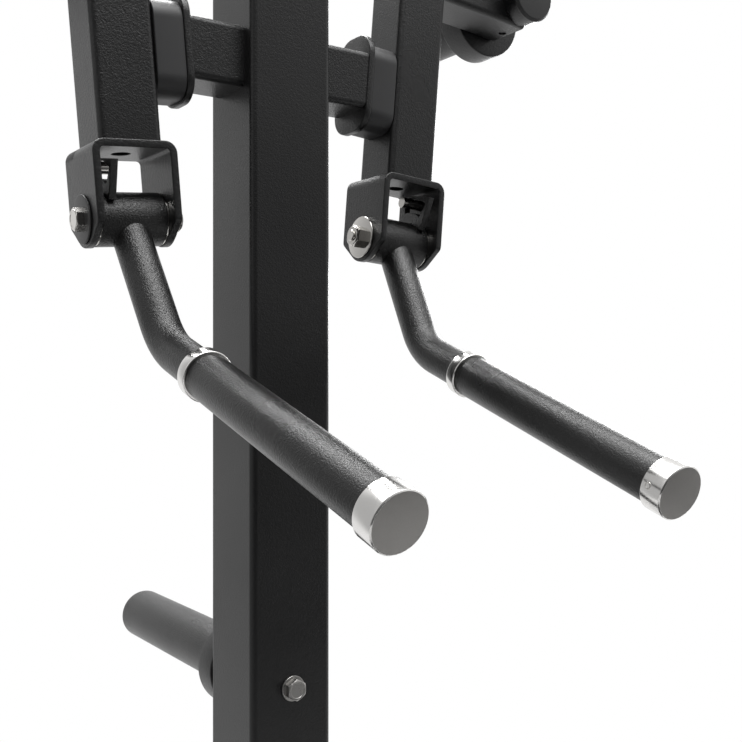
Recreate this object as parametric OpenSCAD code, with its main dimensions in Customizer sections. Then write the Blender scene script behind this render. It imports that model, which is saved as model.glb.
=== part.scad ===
// Standing lateral raise machine, plate loaded.
// +Z is up, the user stands on the -Y side and +X is the machine's right in the front view.
// The origin is the centre of the footprint on the floor.
// Each arm is drawn for the +X side in its own frame and mirrored for the other side:
// origin on the arm pivot, X outward, Y backward, Z up along the leaning arm.

/* [Column] */
// Side of the square column tube
column_w = 75; // [70:1:90]
// Wall of the column tube
column_wall = 3; // [2:0.5:5]
// Outer corner radius of the column tube
column_r = 5; // [4:0.5:8]
// Height of the top of the column tube above the arm pivots
column_over = 80; // [75:1:140]
// Distance of the column behind the centre of the footprint
column_y = 110; // [80:1:140]
// Thickness of the plastic cap on the column
column_cap_t = 4; // [3:0.5:8]

/* [Crossbar and bumpers] */
// Side of the square crossbar tube
bar_w = 50; // [40:1:60]
// Wall of the crossbar, arm and lever tubes
tube_wall = 3; // [2:0.5:4]
// Outer corner radius of the crossbar, arm and lever tubes
tube_r = 5; // [4:0.5:7]
// Distance from the top of the clevis up the arm to the crossbar's centre line
bar_over_clevis = 82; // [70:1:110]
// Thickness of the plate on each end of the crossbar
stop_plate_t = 6; // [4:0.5:10]
// Width of the plate on each end of the crossbar
stop_plate_w = 52; // [51:1:60]
// Height of the plate on each end of the crossbar
stop_plate_h = 88; // [84:1:110]
// Corner radius of the end plate
stop_plate_r = 20; // [8:1:24]
// Distance of the end plate's centre below the crossbar's centre
stop_plate_drop = 4; // [0:0.5:8]
// Thickness of the rubber bumper
bumper_t = 25; // [15:1:35]
// Width of the rubber bumper
bumper_w = 50; // [40:1:51]
// Height of the rubber bumper
bumper_h = 78; // [60:1:82]
// Corner radius of the rubber bumper
bumper_r = 17; // [6:1:20]
// Distance of the bumper's centre below the crossbar's centre
bumper_drop = 6.5; // [0:0.5:8]

/* [Arms] */
// Side of the square arm tube
arm_w = 50; // [44:1:56]
// Distance of the arm pivot from the middle of the machine
pivot_x = 171.6; // [165:0.2:190]
// Height of the arm pivot above the floor
pivot_z = 1430; // [1410:1:1460]
// Lean of the resting arm from the vertical, in degrees
lean = 4.8; // [3:0.1:6]
// Distance from the arm pivot to the top of the clevis
arm_len = 456.3; // [440:0.1:480]
// Outer diameter of the pivot hub
hub_d = 70; // [64:1:78]
// Length of the pivot hub
hub_len = 70; // [60:1:71]
// Diameter of the fixed pivot shaft
shaft_d = 25; // [20:1:28]
// Outer diameter of the hub bearings
bearing_d = 52; // [46:1:56]
// Width of each hub bearing
bearing_w = 15; // [10:1:20]

/* [Levers and weight horns] */
// Distance of the lever's centre line below the arm pivot
lever_drop = 257; // [240:1:270]
// Distance from the arm's centre line to the end of the lever
lever_reach = 125; // [120:1:140]
// Distance from the arm's centre line to the weight horn's axis
horn_reach = 118; // [112:1:132]
// Diameter of the weight horns and of the storage peg
horn_d = 48.6; // [46:0.2:49.4]
// Radial depth of the turned seat that a collar is pushed on
seat_turn = 0.5; // [0.3:0.1:1]
// Wall of the weight horn tube
horn_wall = 4; // [3:0.5:8]
// Length of the weight horn that stands in front of the lever
horn_front = 15; // [8:1:30]
// Usable length of the weight horn behind its collar
horn_len = 220; // [150:1:280]
// Diameter of the weight horn's collar
horn_collar_d = 82; // [70:1:86]
// Thickness of the weight horn's collar
horn_collar_t = 28; // [10:1:40]
// Rim thickness of the weight horn's end caps
horn_cap_t = 4; // [2:0.5:8]
// Diameter of the hole under the end of the lever
lever_hole_d = 8; // [5:0.5:10]

/* [Storage peg] */
// Height of the storage peg's axis above the floor
peg_z = 538.5; // [480:0.5:600]
// Distance from the column's rear face to the end of the storage peg
peg_len = 245; // [200:1:260]
// Edge radius at the end of the storage peg
peg_end_r = 5; // [1:0.5:10]
// Diameter of the storage peg's collar
peg_collar_d = 76; // [60:1:90]
// Thickness of the storage peg's collar
peg_collar_t = 25; // [10:1:40]

/* [Clevis] */
// Outer width of the clevis across its ears
clevis_w = 68; // [64:1:76]
// Depth of the clevis from front to back
clevis_d = 62; // [58:1:70]
// Plate thickness of the clevis
clevis_t = 6; // [5:0.5:7]
// Outer radius of the clevis bends
clevis_r = 9.5; // [8:0.5:13]
// Distance of the handle pivot below the top of the clevis
clevis_drop = 57; // [56:1:64]
// Radius of the ears' lower ends around the handle pivot
ear_r = 22; // [20:0.5:26]
// Distance below the top of the clevis where the ears start to narrow
ear_straight = 61; // [58:1:68]
// Diameter of the hole in the top of the clevis
clevis_hole_d = 15; // [8:1:20]

/* [Stop pin and lug] */
// Diameter of the stop pin
pin_d = 10; // [8:0.5:11]
// Length of the stop pin from the outer ear's inner face
pin_len = 21; // [18:1:26]
// Distance of the stop pin's axis from the handle pivot
pin_orbit = 39.5; // [38:0.5:40]
// Offset of the stop pin's axis in front of the handle pivot
pin_ahead = 1; // [0:0.5:3]
// Swing of the handle between its stops, in degrees
handle_swing = 23; // [15:1:23]
// Thickness of the stop lug
lug_t = 6; // [4:0.5:8]
// Distance of the lug's inner face from the middle of the barrel
lug_x = 15; // [8:0.5:17]
// Height of the lug's front top corner above the handle pivot
lug_front_h = 41.5; // [40.5:0.5:41.5]
// Height of the lug's rear top corner above the handle pivot
lug_rear_h = 49; // [48:0.5:49.5]
// Distance of the lug's rear edge behind the handle pivot
lug_rear = 9.5; // [9:0.5:16]
// Height of the lug's lower edge above the handle pivot
lug_foot = 12.5; // [12.5:0.5:15]
// Distance of the lug's front edge in front of the pivot at its lower edge
lug_front = 21.5; // [20.5:0.2:21.5]
// Slope of the lug's front edge from the arm's direction, in degrees
lug_slope = 20; // [17:1:20]
// Height of the open space in the slot above the stop pin
slot_over = 0.4; // [0.3:0.1:0.6]
// Height of the open space in the slot below the stop pin
slot_under = 3.5; // [0.5:0.5:4]
// Spare length of the slot beyond the upper end of the swing, in degrees
slot_spare = 5; // [0:1:5]

/* [Handle] */
// Outer diameter of the pivot barrel
barrel_d = 42.4; // [38:0.2:43.6]
// Diameter of the handle tube
handle_d = 30; // [26:0.5:32]
// Wall of the handle tube
handle_wall = 3; // [2:0.5:4]
// Angle of the handle's upper leg in front of the arm's direction, in degrees
leg_angle = 31.1; // [20:0.1:40]
// Distance from the handle pivot to the corner of the bend
leg_len = 117.6; // [100:0.2:140]
// Centre line radius of the bend
bend_r = 55; // [40:1:110]
// Slope of the grip below the horizontal, in degrees
grip_slope = 19.3; // [10:0.1:25]
// Distance from the corner of the bend to the end of the handle
grip_reach = 295; // [270:1:320]
// Outer diameter of the rubber grip
grip_d = 34; // [33:0.2:36]
// Diameter of the chrome ring behind the grip
ring_d = 37.8; // [36.4:0.2:44]
// Width of the chrome ring
ring_w = 10; // [5:0.5:14]
// Distance from the end of the handle to the ring's front face
ring_back = 226.5; // [200:0.5:235]
// Diameter of the chrome end cap
cap_d = 38.4; // [36.4:0.2:44]
// Length of the chrome end cap
cap_len = 17; // [12:0.5:30]
// Edge bevel of the chrome end cap
cap_bevel = 1.2; // [0.5:0.1:2.5]
// Diameter of the end cap's set screw
set_screw_d = 5; // [3:0.5:6]

/* [Pivot hardware] */
// Diameter of the handle's pivot bolt
bolt_d = 10; // [8:0.5:12]
// Width across flats of the pivot bolt's head and nut
bolt_af = 16; // [13:0.5:19]
// Height of the pivot bolt's head
bolt_head_h = 6.4; // [5:0.1:9]
// Height of the pivot bolt's lock nut
nut_h = 9; // [7:0.5:14]
// Length of the bolts that stands out of their nuts
bolt_out = 2; // [1:0.5:5]
// Diameter of the discs outside the clevis ears
disc_d = 38; // [30:1:42]
// Thickness of the dark disc under the pivot bolt's head
pad_t = 2; // [1:0.5:5]
// Thickness of the bright washer under the lock nut
washer_t = 2; // [1:0.5:4]
// Thickness of the barrel bushes' flanges
flange_t = 1.2; // [1:0.1:3]
// Outer diameter of the barrel bushes
bush_d = 24; // [20:0.5:30]
// Length of each barrel bush inside the barrel
bush_len = 18; // [10:1:24]

/* [Frame bolts] */
// Diameter of the frame's large bolts
frame_bolt_d = 12; // [10:0.5:14]
// Width across flats of the large bolts and nuts
frame_bolt_af = 18; // [16:0.5:22]
// Height of the large bolts' heads
frame_bolt_head_h = 7.5; // [6:0.5:10]
// Height of the large bolts' lock nuts
frame_nut_h = 12; // [10:0.5:16]
// Length of the shaft bolts' thread inside the pivot shafts
shaft_tap = 20; // [14:1:26]
// Diameter of the storage peg's bolt
peg_bolt_d = 10; // [8:0.5:12]
// Width across flats of the storage peg's bolt
peg_bolt_af = 16; // [13:0.5:19]
// Height of the storage peg bolt's head
peg_bolt_head_h = 6.5; // [5:0.5:9]
// Diameter of the washer under the storage peg's bolt
peg_washer_d = 21; // [20:0.5:30]

/* [Pivot head] */
// Thickness of the two head plates
head_t = 8; // [6:0.5:12]
// Radius of the head plates around the arm pivots
head_end_r = 42; // [38:1:50]
// Rise of the head plates' edge towards the column, in degrees
head_flare = 8; // [0:0.5:12]
// Sideways distance of the head bolts from the middle
head_bolt_x = 20; // [14:1:24]
// Vertical distance of the head bolts from the arm pivots
head_bolt_z = 38; // [30:1:44]

/* [Base] */
// Length of the footprint from front to back
base_len = 900; // [850:1:1000]
// Width of the front foot
front_foot_len = 760; // [700:1:900]
// Width of the rear foot
rear_foot_len = 1000; // [900:1:1100]
// Width of the base tubes
base_tube_w = 75; // [70:1:90]
// Height of the base tubes
base_tube_h = 50; // [40:1:60]
// Thickness of the rubber pads under the feet
foot_pad_t = 10; // [6:1:16]
// Diameter of the rubber pads under the feet
foot_pad_d = 56; // [40:1:65]
// Distance of the pads' centres from the ends of the feet
foot_pad_in = 60; // [45:1:90]
// Rim thickness of the feet's plastic end caps
foot_cap_t = 4; // [3:0.5:8]
// Thickness of the column's flange and of the saddle under it
flange_plate_t = 8; // [6:0.5:12]
// Width of the column's flange
flange_w = 160; // [150:1:180]
// Length of the column's flange
flange_l = 190; // [170:1:210]
// Distance of the flange bolts from the flange's edges
flange_bolt_in = 20; // [18:1:22]
// Height of the gussets between flange and column
gusset_h = 90; // [60:1:140]
// Thickness of the gussets
gusset_t = 6; // [4:0.5:8]

/* [Foot platform] */
// Width of the foot platform
platform_w = 640; // [500:1:700]
// Depth of the foot platform
platform_d = 330; // [260:1:350]
// Sheet thickness of the foot platform
platform_t = 3; // [2:0.5:5]
// Height of the foot platform's turned down side flanges
platform_skirt = 32; // [15:1:40]
// Thickness of the rubber mat on the foot platform
mat_t = 5; // [3:0.5:8]
// Bare margin around the rubber mat
mat_margin = 12; // [6:1:40]
// Distance between the centres of the mat's ribs
mat_pitch = 22; // [16:1:30]

/* [Clearances] */
// Gap between parts that rest against each other across a joint
seat_gap = 0.3; // [0.2:0.05:0.5]
// Radial clearance of a turning fit
run_fit = 0.05; // [0.02:0.01:0.09]
// Radial clearance of a bolt or bar in its hole
hole_fit = 0.3; // [0.1:0.05:0.5]
// Gap between two pieces that are fitted tightly
snug = 0.05; // [0.02:0.01:0.1]

/* [Hidden] */
$fn = 72;
cut = 1;
charcoal = [0.17, 0.17, 0.18];
black = [0.08, 0.08, 0.085];
zinc = [0.72, 0.71, 0.69];
chrome = [0.85, 0.85, 0.86];
cos30 = cos(30);

base_z = foot_pad_t;
rail_top = base_z + base_tube_h;
flange_z = rail_top + flange_plate_t;
column_z0 = flange_z + flange_plate_t;
column_top = pivot_z + column_over;
column_h = column_top - column_z0;
arm_drop = arm_len - bar_over_clevis;
bar_z = pivot_z - arm_drop * cos(lean);
barrel_z = -(arm_len + clevis_drop);
ear_in = clevis_w / 2 - clevis_t;
barrel_len = 2 * (ear_in - flange_t - seat_gap);
bumper_x = -(arm_w / 2 + seat_gap);
stop_plate_x = bumper_x - bumper_t;
bar_end_x = stop_plate_x - stop_plate_t;
horn_y0 = -(arm_w / 2 + horn_front);
horn_collar_y = arm_w / 2;
horn_shoulder = horn_collar_y + horn_collar_t;
horn_y1 = horn_shoulder + horn_len;
seat_d = horn_d - 2 * seat_turn;
bend_angle = 90 - leg_angle - grip_slope;
bend_run = bend_r * tan(bend_angle / 2);
pin_angle = asin(pin_ahead / pin_orbit);
slot_half = asin((pin_d / 2 + seat_gap) / pin_orbit);
head_y = column_w / 2;
head_ring_t = head_y - hub_len / 2 - seat_gap;

// Square of w by h with round corners
module round_rect(w, h, r) {
  square([w - 2 * r, h], center = true);
  square([w, h - 2 * r], center = true);
  for (x = [-1, 1], y = [-1, 1])
    translate([x * (w / 2 - r), y * (h / 2 - r)])
      circle(r);
}

// Rectangular tube along Z from the origin
module tube(w, h, len, wall, r) {
  linear_extrude(len)
    difference() {
      round_rect(w, h, r);
      round_rect(w - 2 * wall, h - 2 * wall, r - wall);
    }
}

// Bar along Z with bevelled ends, drawn as one revolved profile
module bevel_bar(d, len, bevel) {
  rotate_extrude()
    polygon([[0, 0], [d / 2 - bevel, 0], [d / 2, bevel], [d / 2, len - bevel],
             [d / 2 - bevel, len], [0, len]]);
}

// Hexagon prism along Z with its flats af apart
module hex(af, h) {
  cylinder(d = af / cos30, h = h, $fn = 6);
}

// Hex head: a prism whose outer corners are turned off by a cone
module hex_head(af, h) {
  intersection() {
    hex(af, h);
    rotate_extrude()
      polygon([[0, 0], [af * 0.6, 0], [af * 0.6, h * 0.82], [af * 0.47, h], [0, h]]);
  }
}

// Hex bolt with its head above the XY plane and its shank below it
module bolt(d, af, head, len) {
  hex_head(af, head);
  translate([0, 0, -len])
    bevel_bar(d, len + head / 2, d * 0.08);
}

// Lock nut above the XY plane with its round collar on top
module lock_nut(d, af, h) {
  difference() {
    union() {
      hex_head(af, h * 0.72);
      cylinder(d = af * 0.86, h = h - 1);
      cylinder(d = af * 0.74, h = h);
    }
    translate([0, 0, -cut])
      cylinder(d = d + 2 * snug, h = h + 2 * cut);
  }
}

// Flat washer above the XY plane
module washer(d, hole, t) {
  difference() {
    cylinder(d = d, h = t);
    translate([0, 0, -cut])
      cylinder(d = hole, h = t + 2 * cut);
  }
}

// Places children in the frame of the right arm (s = 1) or the left arm (s = -1)
module on_arm(s) {
  mirror([s < 0 ? 1 : 0, 0, 0])
    translate([pivot_x, column_y, pivot_z])
      rotate([0, lean, 0])
        children();
}

// Places children at the handle pivot, inside an arm's frame
module on_barrel() {
  translate([0, 0, barrel_z])
    children();
}

// Places children at the corner of the handle's bend with -Z along the grip
module on_grip() {
  translate([0, -leg_len * sin(leg_angle), barrel_z - leg_len * cos(leg_angle)])
    rotate([-(90 - grip_slope), 0, 0])
      children();
}

// Points local +Z along the arm frame's +X
module along_x() {
  rotate([0, 90, 0])
    children();
}

// Points local +Z backward
module along_y() {
  rotate([-90, 0, 0])
    children();
}

module base_tube(len) {
  rotate([0, 90, 0])
    translate([0, 0, -len / 2])
      tube(base_tube_h, base_tube_w, len, tube_wall, tube_r);
}

module centre_rail() {
  len = base_len - 2 * base_tube_w;
  color(charcoal)
    translate([0, -len / 2, base_z + base_tube_h / 2])
      along_y()
        tube(base_tube_w, base_tube_h, len, tube_wall, tube_r);
}

module foot(len, y) {
  color(charcoal)
    translate([0, y, base_z + base_tube_h / 2])
      base_tube(len);
}

module front_foot() {
  foot(front_foot_len, -(base_len - base_tube_w) / 2);
}

module rear_foot() {
  foot(rear_foot_len, (base_len - base_tube_w) / 2);
}

// Plastic cap of a rectangular tube: a rim on the tube's end and a plug inside it
module tube_cap(w, h, wall, r, rim) {
  plug = 14;
  linear_extrude(rim - 1)
    round_rect(w, h, r);
  linear_extrude(rim)
    round_rect(w - 2, h - 2, r - 1);
  translate([0, 0, -plug])
    linear_extrude(plug)
      difference() {
        round_rect(w - 2 * (wall + snug), h - 2 * (wall + snug), r - wall);
        round_rect(w - 2 * wall - 6, h - 2 * wall - 6, 1);
      }
}

module foot_end_caps() {
  color(black)
    for (f = [[-1, front_foot_len], [1, rear_foot_len]], s = [-1, 1])
      translate([s * f[1] / 2, f[0] * (base_len - base_tube_w) / 2, base_z + base_tube_h / 2])
        rotate([0, s * 90, 0])
          tube_cap(base_tube_h, base_tube_w, tube_wall, tube_r, foot_cap_t);
}

module foot_pads() {
  flare = 3;
  color(black)
    for (f = [[-1, front_foot_len], [1, rear_foot_len]], s = [-1, 1])
      translate([s * (f[1] / 2 - foot_pad_in), f[0] * (base_len - base_tube_w) / 2, 0])
        rotate_extrude()
          polygon([[0, 0], [foot_pad_d / 2 - 1, 0], [foot_pad_d / 2, 1], [foot_pad_d / 2 - flare, foot_pad_t],
                   [0, foot_pad_t]]);
}

// Plate with the flange's outline and bolt holes
module flange_plate() {
  linear_extrude(flange_plate_t)
    difference() {
      round_rect(flange_w, flange_l, 8);
      for (x = [-1, 1], y = [-1, 1])
        translate([x * (flange_w / 2 - flange_bolt_in), y * (flange_l / 2 - flange_bolt_in)])
          circle(d = frame_bolt_d + 2 * hole_fit);
    }
}

module base_saddle() {
  color(charcoal)
    translate([0, column_y, rail_top])
      flange_plate();
}

module gusset() {
  reach = flange_l / 2 - column_w / 2 - 6;
  rotate([90, 0, 90])
    translate([0, 0, -gusset_t / 2])
      linear_extrude(gusset_t)
        polygon([[0, 0], [reach, 0], [reach, 12], [12, gusset_h], [0, gusset_h]]);
}

module column_flange() {
  color(charcoal)
    translate([0, column_y, flange_z])
      flange_plate();
}

module flange_gussets() {
  color(charcoal)
    for (a = [0, 180])
      translate([0, column_y, column_z0])
        rotate([0, 0, a])
          translate([0, column_w / 2, 0])
            gusset();
}

module flange_bolts() {
  grip_len = 2 * flange_plate_t;
  color(zinc)
    for (x = [-1, 1], y = [-1, 1])
      translate([x * (flange_w / 2 - flange_bolt_in), column_y + y * (flange_l / 2 - flange_bolt_in), column_z0]) {
        washer(frame_bolt_d * 2, frame_bolt_d + 2 * snug, washer_t);
        translate([0, 0, washer_t])
          bolt(frame_bolt_d, frame_bolt_af, frame_bolt_head_h, grip_len + washer_t + frame_nut_h + bolt_out);
        translate([0, 0, -grip_len])
          rotate([180, 0, 0])
            lock_nut(frame_bolt_d, frame_bolt_af, frame_nut_h);
      }
}

module platform() {
  z0 = rail_top;
  y0 = -base_len / 2;
  color(charcoal)
    translate([0, y0, z0]) {
      linear_extrude(platform_t)
        translate([0, platform_d / 2])
          square([platform_w, platform_d], center = true);
      for (s = [-1, 1])
        translate([s * (platform_w - platform_t) / 2 - platform_t / 2, base_tube_w + 1, -platform_skirt])
          cube([platform_t, platform_d - base_tube_w - 1, platform_skirt]);
    }
}

module platform_mat() {
  w = platform_w - 2 * mat_margin;
  d = platform_d - 2 * mat_margin;
  ribs = floor((w - mat_pitch) / mat_pitch);
  color(black)
    translate([0, -base_len / 2 + platform_d / 2, rail_top + platform_t]) {
      difference() {
        linear_extrude(mat_t)
          round_rect(w, d, 10);
        for (i = [0 : ribs])
          translate([(i - ribs / 2) * mat_pitch - 2, -d / 2 + mat_margin, mat_t - 2])
            cube([4, d - 2 * mat_margin, 2 + cut]);
      }
    }
}

module head_bolt_places() {
  for (x = [-1, 1], z = [-1, 1])
    translate([x * head_bolt_x, column_y, pivot_z + z * head_bolt_z])
      children();
}

module column() {
  color(charcoal)
    difference() {
      translate([0, column_y, column_z0])
        tube(column_w, column_w, column_h, column_wall, column_r);
      head_bolt_places()
        along_y()
          cylinder(d = frame_bolt_d + 2 * hole_fit, h = column_w + 2 * cut, center = true);
      translate([0, column_y, peg_z])
        along_y()
          cylinder(d = peg_bolt_d + 2 * hole_fit, h = column_w + 2 * cut, center = true);
    }
}

module column_cap() {
  color(black)
    translate([0, column_y, column_top])
      tube_cap(column_w, column_w, column_wall, column_r, column_cap_t);
}

module crossbar() {
  color(charcoal)
    for (s = [-1, 1])
      difference() {
        mirror([s < 0 ? 1 : 0, 0, 0])
          translate([column_w / 2, column_y, bar_z])
            along_x()
              tube(bar_w, bar_w, pivot_x, tube_wall, tube_r);
        on_arm(s)
          translate([bar_end_x, -bar_w, -arm_drop - bar_w * 2])
            cube([pivot_x * 2, bar_w * 2, bar_w * 4]);
      }
}

// Block with the outline of a bumper or end plate, its thickness along the arm frame's X
module stop_block(x, t, w, h, r, drop) {
  translate([x, 0, -arm_drop - drop])
    along_x()
      linear_extrude(t)
        round_rect(h, w, r);
}

module stop_plates() {
  color(charcoal)
    for (s = [-1, 1])
      on_arm(s)
        stop_block(bar_end_x, stop_plate_t, stop_plate_w, stop_plate_h, stop_plate_r, stop_plate_drop);
}

module bumpers() {
  color(black)
    for (s = [-1, 1])
      on_arm(s)
        stop_block(stop_plate_x, bumper_t, bumper_w, bumper_h, bumper_r, bumper_drop);
}

// Head plate of thickness t: a round end at each pivot and straight flared edges between them
module head_solid(t) {
  tx = pivot_x + (head_end_r - snug) * sin(head_flare);
  tz = (head_end_r - snug) * cos(head_flare);
  cx = column_w / 2;
  cz = tz + (tx - cx) * tan(head_flare);
  for (s = [-1, 1])
    translate([s * pivot_x, 0, 0])
      cylinder(r = head_end_r, h = t, center = true);
  linear_extrude(t, center = true)
    polygon([[-tx, tz], [-cx, cz], [cx, cz], [tx, tz], [tx, -tz], [cx, -cz], [-cx, -cz], [-tx, -tz]]);
}

module head_plate(y) {
  color(charcoal)
    difference() {
      translate([0, y, pivot_z])
        rotate([90, 0, 0])
          head_solid(head_t);
      head_bolt_places()
        along_y()
          cylinder(d = frame_bolt_d + 2 * hole_fit, h = column_w * 2, center = true);
      for (s = [-1, 1])
        translate([s * pivot_x, y, pivot_z])
          along_y()
            cylinder(d = frame_bolt_d + 2 * hole_fit, h = column_w, center = true);
    }
}

module head_plate_front() {
  head_plate(column_y - head_y - head_t / 2);
}

module head_plate_rear() {
  head_plate(column_y + head_y + head_t / 2);
}

module head_bolts() {
  span = column_w + 2 * head_t;
  color(zinc)
    head_bolt_places()
      rotate([90, 0, 0])
        translate([0, 0, span / 2]) {
          washer(frame_bolt_d * 2, frame_bolt_d + 2 * snug, washer_t);
          translate([0, 0, washer_t])
            bolt(frame_bolt_d, frame_bolt_af, frame_bolt_head_h, span + washer_t + frame_nut_h + bolt_out);
          translate([0, 0, -span])
            rotate([180, 0, 0])
              lock_nut(frame_bolt_d, frame_bolt_af, frame_nut_h);
        }
}

// Fixed shafts between the head plates, each with a spacer ring at both ends
module pivot_shafts() {
  tapped = shaft_tap + 6;
  color(zinc)
    for (s = [-1, 1])
      translate([s * pivot_x, column_y, pivot_z])
        along_y() {
          difference() {
            cylinder(d = shaft_d, h = 2 * head_y, center = true);
            for (e = [-1, 1])
              translate([0, 0, e * (head_y - tapped / 2 + cut / 2)])
                cylinder(d = frame_bolt_d + 2 * snug, h = tapped + cut, center = true);
          }
          for (e = [-1, 1])
            translate([0, 0, e * (head_y - head_ring_t / 2)])
              difference() {
                cylinder(d = shaft_d + 10, h = head_ring_t, center = true);
                cylinder(d = shaft_d + 2 * snug, h = head_ring_t + cut, center = true);
              }
        }
}

module shaft_bolts() {
  color(zinc)
    for (s = [-1, 1], e = [-1, 1])
      translate([s * pivot_x, column_y + e * (head_y + head_t), pivot_z])
        rotate([e * -90, 0, 0]) {
          washer(disc_d, frame_bolt_d + 2 * snug, washer_t);
          translate([0, 0, washer_t])
            bolt(frame_bolt_d, frame_bolt_af, frame_bolt_head_h, washer_t + head_t + shaft_tap);
        }
}

module storage_peg() {
  wall = horn_wall;
  root = 24;
  r = horn_d / 2;
  color(charcoal)
    translate([0, column_y + column_w / 2, peg_z])
      along_y()
        difference() {
          union() {
            cylinder(r = r - seat_turn, h = peg_collar_t + cut);
            translate([0, 0, peg_collar_t])
              cylinder(r = r, h = peg_len - peg_end_r - peg_collar_t);
            translate([0, 0, peg_len - peg_end_r])
              rotate_extrude() {
                square([r - peg_end_r, peg_end_r]);
                translate([r - peg_end_r, 0])
                  intersection() {
                    circle(peg_end_r);
                    square(peg_end_r);
                  }
              }
          }
          translate([0, 0, root])
            cylinder(r = r - wall, h = peg_len - root - 8);
          translate([0, 0, -cut])
            cylinder(d = peg_bolt_d + 2 * snug, h = root + cut + cut);
        }
}

// Thick round collar with a bore, its outer edges bevelled
module collar(d, bore, t) {
  difference() {
    bevel_bar(d, t, 1.2);
    translate([0, 0, -cut])
      cylinder(d = bore, h = t + 2 * cut);
  }
}

module storage_collar() {
  color(charcoal)
    translate([0, column_y + column_w / 2, peg_z])
      along_y()
        collar(peg_collar_d, seat_d + 2 * snug, peg_collar_t);
}

module storage_bolt() {
  color(zinc)
    translate([0, column_y - column_w / 2, peg_z])
      rotate([90, 0, 0]) {
        washer(peg_washer_d, peg_bolt_d + 2 * snug, washer_t);
        translate([0, 0, washer_t])
          bolt(peg_bolt_d, peg_bolt_af, peg_bolt_head_h, washer_t + column_w + 18);
      }
}

module arm() {
  color(charcoal)
    difference() {
      union() {
        along_y()
          cylinder(d = hub_d, h = hub_len, center = true);
        difference() {
          translate([0, 0, -arm_len])
            tube(arm_w, arm_w, arm_len, tube_wall, tube_r);
          along_y()
            cylinder(d = hub_d - 2, h = hub_len * 2, center = true);
        }
      }
      along_y() {
        cylinder(d = bearing_d - 6, h = hub_len + cut, center = true);
        for (e = [-1, 1])
          translate([0, 0, e * (hub_len / 2 - bearing_w / 2 + cut / 2)])
            cylinder(d = bearing_d + 2 * snug, h = bearing_w + cut, center = true);
      }
    }
}

// Sealed bearings in the hub, each a ring with a shield recess on both faces
module hub_bearings() {
  in_r = shaft_d / 2 + run_fit;
  out_r = bearing_d / 2;
  shield = 1;
  land = 3.2;
  color(zinc)
    for (e = [-1, 1])
      translate([0, e * (hub_len - bearing_w) / 2, 0])
        along_y()
          rotate_extrude()
            difference() {
              translate([in_r, -bearing_w / 2])
                square([out_r - in_r, bearing_w]);
              for (f = [-1, 1])
                translate([in_r + land, f * (bearing_w - shield / 2) / 2 - shield / 2])
                  square([out_r - in_r - 2 * land, shield]);
            }
}

module on_horn() {
  translate([horn_reach, 0, -lever_drop])
    along_y()
      children();
}

module lever() {
  color(charcoal)
    difference() {
      translate([arm_w / 2, 0, -lever_drop])
        along_x()
          tube(bar_w, arm_w, lever_reach - arm_w / 2, tube_wall, tube_r);
      on_horn()
        cylinder(d = seat_d + 2 * snug, h = arm_w * 2, center = true);
      translate([horn_reach, 0, -lever_drop - bar_w])
        cylinder(d = lever_hole_d, h = bar_w);
    }
}

module weight_horn() {
  color(charcoal)
    on_horn()
      translate([0, 0, horn_y0])
        difference() {
          union() {
            cylinder(d = seat_d, h = horn_shoulder - horn_y0 + cut);
            translate([0, 0, horn_shoulder - horn_y0])
              cylinder(d = horn_d, h = horn_len);
          }
          translate([0, 0, -cut])
            cylinder(d = horn_d - 2 * horn_wall, h = horn_y1 - horn_y0 + 2 * cut);
        }
}

module horn_collar() {
  color(charcoal)
    on_horn()
      translate([0, 0, horn_collar_y])
        collar(horn_collar_d, seat_d + 2 * snug, horn_collar_t);
}

// Plastic plug with a bevelled rim as wide as the horn
module horn_cap() {
  plug = 12;
  r = horn_d / 2;
  b = horn_cap_t * 0.6;
  rotate_extrude()
    polygon([[0, -plug], [r - horn_wall - snug, -plug], [r - horn_wall - snug, 0], [r, 0],
             [r, horn_cap_t - b], [r - b, horn_cap_t], [0, horn_cap_t]]);
}

module horn_caps() {
  color(black)
    on_horn() {
      translate([0, 0, horn_y1])
        horn_cap();
      translate([0, 0, horn_y0])
        rotate([180, 0, 0])
          horn_cap();
    }
}

// Front outline of the bent plate: a U turned upside down
module clevis_front(w, h, r) {
  translate([-w / 2, -h])
    square([w, h - r]);
  translate([-(w / 2 - r), -h])
    square([w - 2 * r, h]);
  for (s = [-1, 1])
    translate([s * (w / 2 - r), -r])
      circle(r);
}

// Bar of length len with the side view of an ear: full depth above, narrowing to a round end
// about the pivot
module ear_side(len) {
  reach = norm([clevis_d / 2, ear_straight - clevis_drop]);
  a = -atan2(ear_straight - clevis_drop, clevis_d / 2) - acos(ear_r / reach);
  tx = (ear_r - snug) * cos(a);
  tz = -clevis_drop + (ear_r - snug) * sin(a);
  translate([0, -clevis_drop])
    cylinder(r = ear_r, h = len, center = true);
  linear_extrude(len, center = true)
    polygon([[-clevis_d / 2, cut], [clevis_d / 2, cut], [clevis_d / 2, -ear_straight], [tx, tz],
             [-tx, tz], [-clevis_d / 2, -ear_straight]]);
}

module clevis() {
  h = clevis_drop + ear_r + cut;
  color(charcoal)
    translate([0, 0, -arm_len])
      difference() {
        intersection() {
          rotate([90, 0, 0])
            linear_extrude(clevis_d + 2 * cut, center = true)
              clevis_front(clevis_w, h, clevis_r);
          rotate([90, 0, 90])
            ear_side(clevis_w + 2 * cut);
        }
        translate([0, 0, -clevis_t])
          rotate([90, 0, 0])
            linear_extrude(clevis_d + 4 * cut, center = true)
              clevis_front(clevis_w - 2 * clevis_t, h, clevis_r - clevis_t);
        translate([0, 0, -clevis_t - cut])
          cylinder(d = clevis_hole_d, h = clevis_t + 2 * cut);
        translate([0, 0, -clevis_drop])
          along_x()
            cylinder(d = bolt_d + 2 * hole_fit, h = clevis_w + 2 * cut, center = true);
      }
}

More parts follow.
